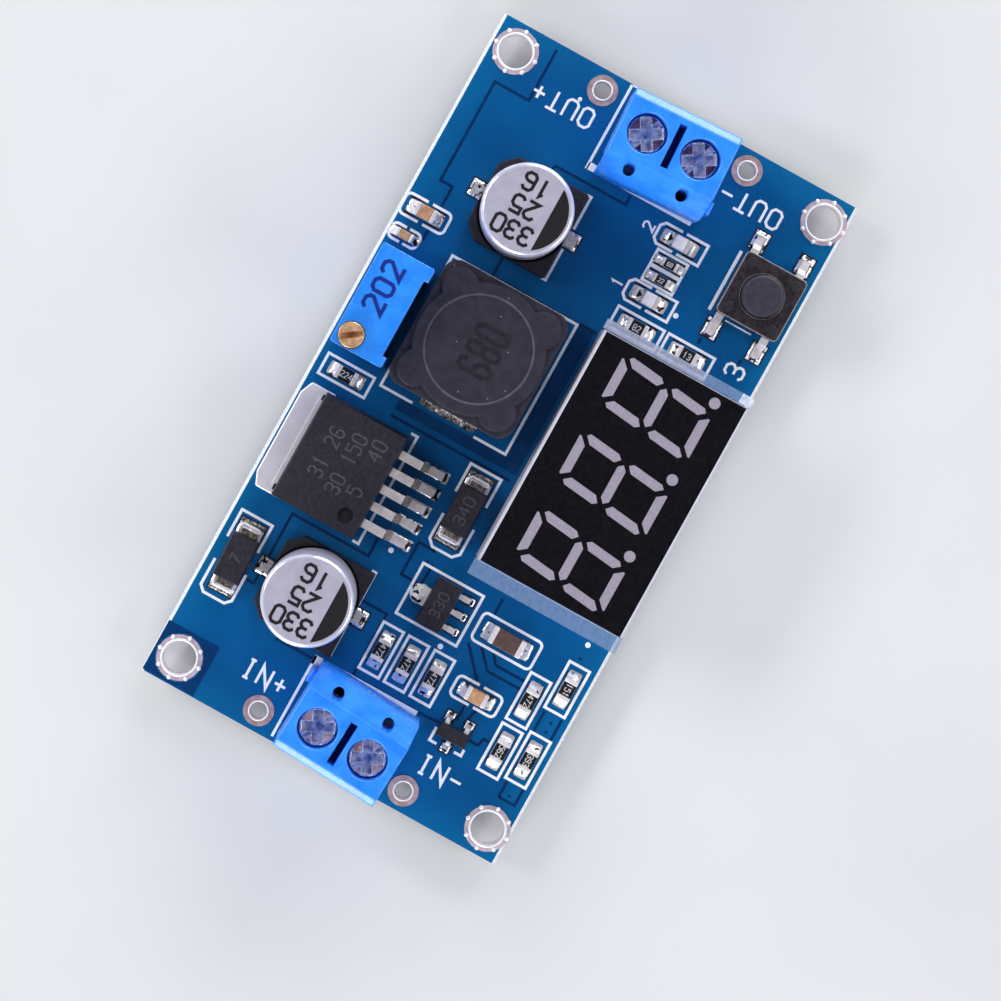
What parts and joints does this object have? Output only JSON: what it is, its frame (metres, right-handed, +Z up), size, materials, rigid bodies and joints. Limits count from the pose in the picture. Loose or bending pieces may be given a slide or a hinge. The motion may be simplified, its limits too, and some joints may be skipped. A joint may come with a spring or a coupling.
{
  "type": "step-down converter module",
  "caption": "Blue step-down converter board with a digit voltmeter, screw terminals at both ends, trimmer, choke and push button.",
  "frame": {"origin": "middle of the mounting-hole pattern, on the underside of the board", "axes": "+X from the input terminals to the output terminals, +Z up out of the component side"},
  "size_m": [0.066, 0.0357, 0.0143],
  "materials": {
    "board": "solder-masked glass-fibre laminate",
    "tin": "tin plate",
    "solder": "bright solder",
    "terminal_blue": "satin moulding",
    "screw_steel": "zinc-plated steel",
    "can_aluminium": "coated can",
    "black_moulding": "moulded resin",
    "ferrite": "matt ferrite",
    "copper": "enamelled copper wire",
    "trimmer_blue": "satin moulding",
    "adjuster_brass": "turned brass",
    "resistor_glaze": "glazed ceramic",
    "capacitor_ceramic": "fired ceramic",
    "led_white": "white laminate",
    "led_lens": "clear resin",
    "switch_steel": "blackened sheet",
    "display_white": "white moulding",
    "display_black": "black ink",
    "segment_resin": "milky epoxy",
    "laminate": "bare laminate",
    "clear_film": "clear film"
  },
  "bodies": {
    "board": {"circuit_board": "board", "pad_rings": "tin", "surface_solder": "solder", "pin_solder": "solder", "input_terminal_housing": "terminal_blue", "input_terminal_contacts": "tin", "output_terminal_housing": "terminal_blue", "output_terminal_contacts": "tin", "input_capacitor_base": "black_moulding", "input_capacitor_can": "can_aluminium", "input_capacitor_leads": "tin", "output_capacitor_base": "black_moulding", "output_capacitor_can": "can_aluminium", "output_capacitor_leads": "tin", "inductor_shield": "ferrite", "inductor_core": "ferrite", "inductor_winding": "copper", "inductor_terminals": "tin", "regulator_body": "black_moulding", "regulator_tab": "tin", "regulator_leads": "tin", "rectifier_body": "black_moulding", "rectifier_leads": "tin", "input_diode_body": "black_moulding", "input_diode_leads": "tin", "trimmer_case": "trimmer_blue", "trimmer_pins": "tin", "logic_supply_body": "black_moulding", "logic_supply_leads": "tin", "transistor_body": "black_moulding", "transistor_leads": "tin", "resistor_bodies": "resistor_glaze", "ceramic_capacitors": "capacitor_ceramic", "chip_end_caps": "tin", "indicator_bases": "led_white", "indicator_lenses": "led_lens", "switch_base": "black_moulding", "switch_cover": "switch_steel", "switch_dome": "screw_steel", "switch_leads": "tin", "display_case": "display_white", "display_face": "display_black", "display_segments": "segment_resin", "display_back": "laminate", "display_pins": "tin", "display_film": "clear_film", "controller_body": "black_moulding", "controller_leads": "tin"},
    "input_plus_guard": {"input_plus_guard": "screw_steel"},
    "input_plus_screw": {"input_plus_screw": "screw_steel"},
    "input_minus_guard": {"input_minus_guard": "screw_steel"},
    "input_minus_screw": {"input_minus_screw": "screw_steel"},
    "output_plus_guard": {"output_plus_guard": "screw_steel"},
    "output_plus_screw": {"output_plus_screw": "screw_steel"},
    "output_minus_guard": {"output_minus_guard": "screw_steel"},
    "output_minus_screw": {"output_minus_screw": "screw_steel"},
    "button": {"switch_button": "black_moulding"},
    "adjuster": {"trimmer_screw": "adjuster_brass"}
  },
  "joints": [
    {"name": "input_plus_clamp_slide", "type": "slide", "parent": "board", "child": "input_plus_guard", "axis": [0, 0, -1], "range_m": [0, 0.0017]},
    {"name": "input_plus_screw_turn", "type": "hinge", "parent": "input_plus_guard", "child": "input_plus_screw", "pos_m": [-0.02887, 0.0021, 0.0096], "axis": [0, 0, -1], "range_deg": [0, 1226]},
    {"name": "input_minus_clamp_slide", "type": "slide", "parent": "board", "child": "input_minus_guard", "axis": [0, 0, -1], "range_m": [0, 0.0017]},
    {"name": "input_minus_screw_turn", "type": "hinge", "parent": "input_minus_guard", "child": "input_minus_screw", "pos_m": [-0.02913, -0.0029, 0.0096], "axis": [0, 0, -1], "range_deg": [0, 1226]},
    {"name": "output_plus_clamp_slide", "type": "slide", "parent": "board", "child": "output_plus_guard", "axis": [0, 0, -1], "range_m": [0, 0.0017]},
    {"name": "output_plus_screw_turn", "type": "hinge", "parent": "output_plus_guard", "child": "output_plus_screw", "pos_m": [0.02888, 0.0021, 0.0096], "axis": [0, 0, -1], "range_deg": [0, 1226]},
    {"name": "output_minus_clamp_slide", "type": "slide", "parent": "board", "child": "output_minus_guard", "axis": [0, 0, -1], "range_m": [0, 0.0017]},
    {"name": "output_minus_screw_turn", "type": "hinge", "parent": "output_minus_guard", "child": "output_minus_screw", "pos_m": [0.02912, -0.0029, 0.0096], "axis": [0, 0, -1], "range_deg": [0, 1226]},
    {"name": "button_press", "type": "slide", "parent": "board", "child": "button", "axis": [0, 0, -1], "range_m": [0, 0.00025], "stiffness_N_per_m": 6000, "deforming": ["switch_dome"]},
    {"name": "trimmer_turn", "type": "hinge", "parent": "board", "child": "adjuster", "pos_m": [0.00175, 0.01575, 0.0116], "axis": [0, 0, 1], "continuous": true}
  ],
  "couplings": [
    {"joint": "input_plus_screw_turn", "follows": "input_plus_clamp_slide", "rad_per_m": 12566},
    {"joint": "input_minus_screw_turn", "follows": "input_minus_clamp_slide", "rad_per_m": 12566},
    {"joint": "output_plus_screw_turn", "follows": "output_plus_clamp_slide", "rad_per_m": 12566},
    {"joint": "output_minus_screw_turn", "follows": "output_minus_clamp_slide", "rad_per_m": 12566}
  ]
}
